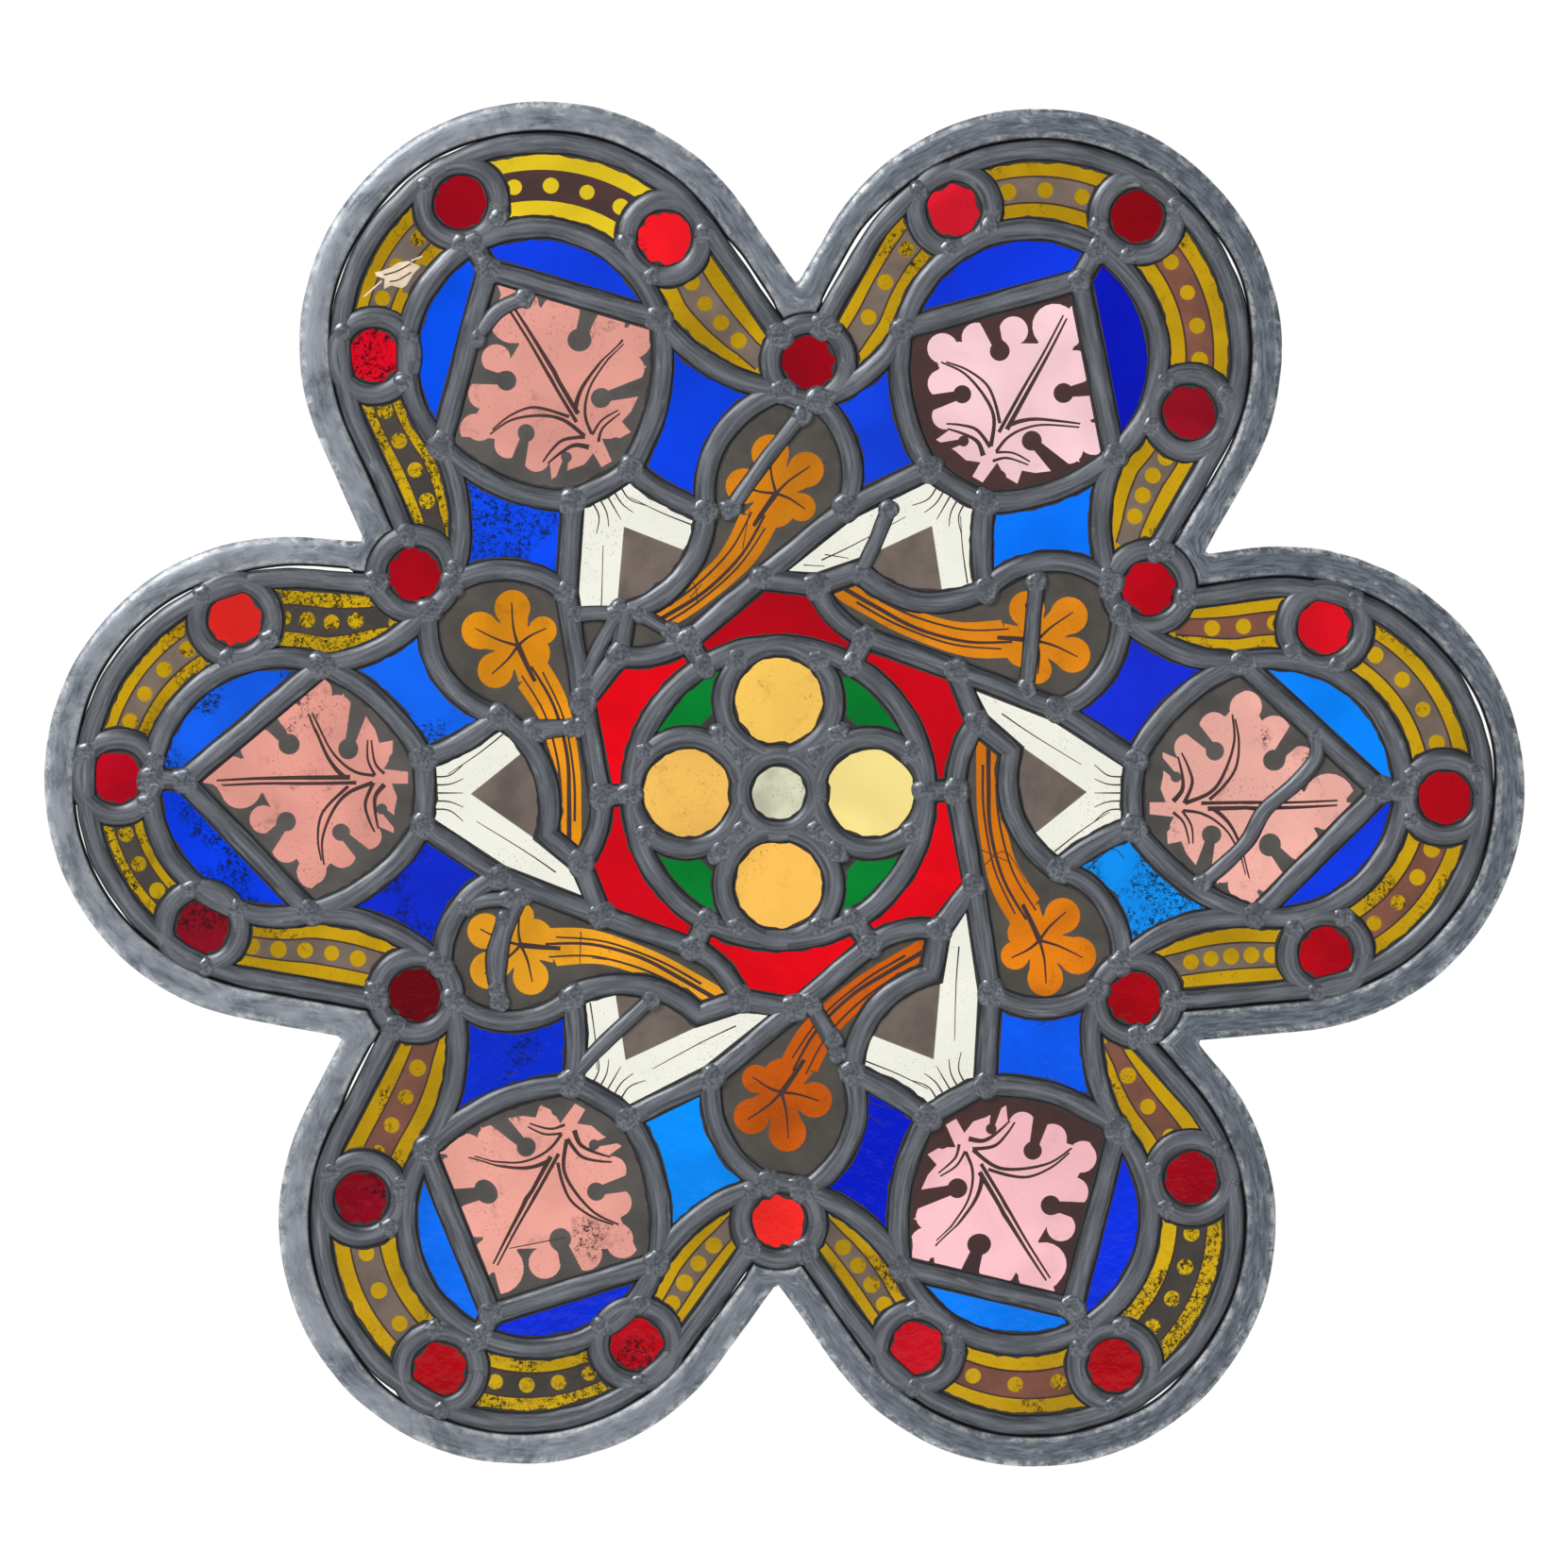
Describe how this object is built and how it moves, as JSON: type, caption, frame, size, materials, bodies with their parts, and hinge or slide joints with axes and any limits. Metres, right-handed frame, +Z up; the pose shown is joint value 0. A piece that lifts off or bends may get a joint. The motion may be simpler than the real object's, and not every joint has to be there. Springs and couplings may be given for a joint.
{
  "type": "stained glass window panel",
  "caption": "Six-lobed leaded stained glass window with a quatrefoil centre, oak leaf panes, scrolls and a beaded band of red jewels inside a wide edge came.",
  "frame": {"origin": "on the flat back of the edge came, at the notch between the two lower lobes", "axes": "+X to the right as seen from the front, +Z up, +Y away from the viewer through the back; the front faces -Y"},
  "size_m": [0.6086, 0.0079, 0.5625],
  "materials": {
    "edge_lead": "cast lead, pale bluish grey with white oxide",
    "lead": "dark grey milled lead, soldered",
    "band_glass": "yellow stained glass with painted beading, and ruby jewels",
    "clear_glass": "clear, slightly greenish",
    "amber_glass": "amber with brown speckles",
    "green_glass": "deep green",
    "red_glass": "ruby",
    "scroll_glass": "orange stain with dark painted ground",
    "strap_glass": "white with brown painted lines",
    "leaf_glass": "pink with dark painted oak leaf",
    "blue_glass": "deep to azure blue"
  },
  "bodies": {
    "root": {"beaded_band_glass": "band_glass", "centre_amber_bottom": "amber_glass", "centre_amber_left": "amber_glass", "centre_amber_right": "amber_glass", "centre_amber_top": "amber_glass", "centre_green_lower_left": "green_glass", "centre_green_lower_right": "green_glass", "centre_green_upper_left": "green_glass", "centre_green_upper_right": "green_glass", "centre_roundel": "clear_glass", "edge_lead": "edge_lead", "inner_leadwork": "lead", "left_lobe_blue_inner_left": "blue_glass", "left_lobe_blue_inner_right": "blue_glass", "left_lobe_blue_outer_left": "blue_glass", "left_lobe_blue_outer_right": "blue_glass", "left_lobe_leaf": "leaf_glass", "left_lobe_scroll": "scroll_glass", "left_lobe_strap": "strap_glass", "lower_left_lobe_blue_inner_left": "blue_glass", "lower_left_lobe_blue_inner_right": "blue_glass", "lower_left_lobe_blue_outer_left": "blue_glass", "lower_left_lobe_blue_outer_right": "blue_glass", "lower_left_lobe_leaf": "leaf_glass", "lower_left_lobe_scroll": "scroll_glass", "lower_left_lobe_strap": "strap_glass", "lower_right_lobe_blue_inner_left": "blue_glass", "lower_right_lobe_blue_inner_right": "blue_glass", "lower_right_lobe_blue_outer_left": "blue_glass", "lower_right_lobe_blue_outer_right": "blue_glass", "lower_right_lobe_leaf": "leaf_glass", "lower_right_lobe_scroll": "scroll_glass", "lower_right_lobe_strap": "strap_glass", "red_bottom": "red_glass", "red_left_lower": "red_glass", "red_left_upper": "red_glass", "red_right_lower": "red_glass", "red_right_upper": "red_glass", "red_top": "red_glass", "right_lobe_blue_inner_left": "blue_glass", "right_lobe_blue_inner_right": "blue_glass", "right_lobe_blue_outer_left": "blue_glass", "right_lobe_blue_outer_right": "blue_glass", "right_lobe_leaf": "leaf_glass", "right_lobe_scroll": "scroll_glass", "right_lobe_strap": "strap_glass", "upper_left_lobe_blue_inner_left": "blue_glass", "upper_left_lobe_blue_inner_right": "blue_glass", "upper_left_lobe_blue_outer_left": "blue_glass", "upper_left_lobe_blue_outer_right": "blue_glass", "upper_left_lobe_leaf": "leaf_glass", "upper_left_lobe_scroll": "scroll_glass", "upper_left_lobe_strap": "strap_glass", "upper_right_lobe_blue_inner_left": "blue_glass", "upper_right_lobe_blue_inner_right": "blue_glass", "upper_right_lobe_blue_outer_left": "blue_glass", "upper_right_lobe_blue_outer_right": "blue_glass", "upper_right_lobe_leaf": "leaf_glass", "upper_right_lobe_scroll": "scroll_glass", "upper_right_lobe_strap": "strap_glass"}
  },
  "joints": []
}
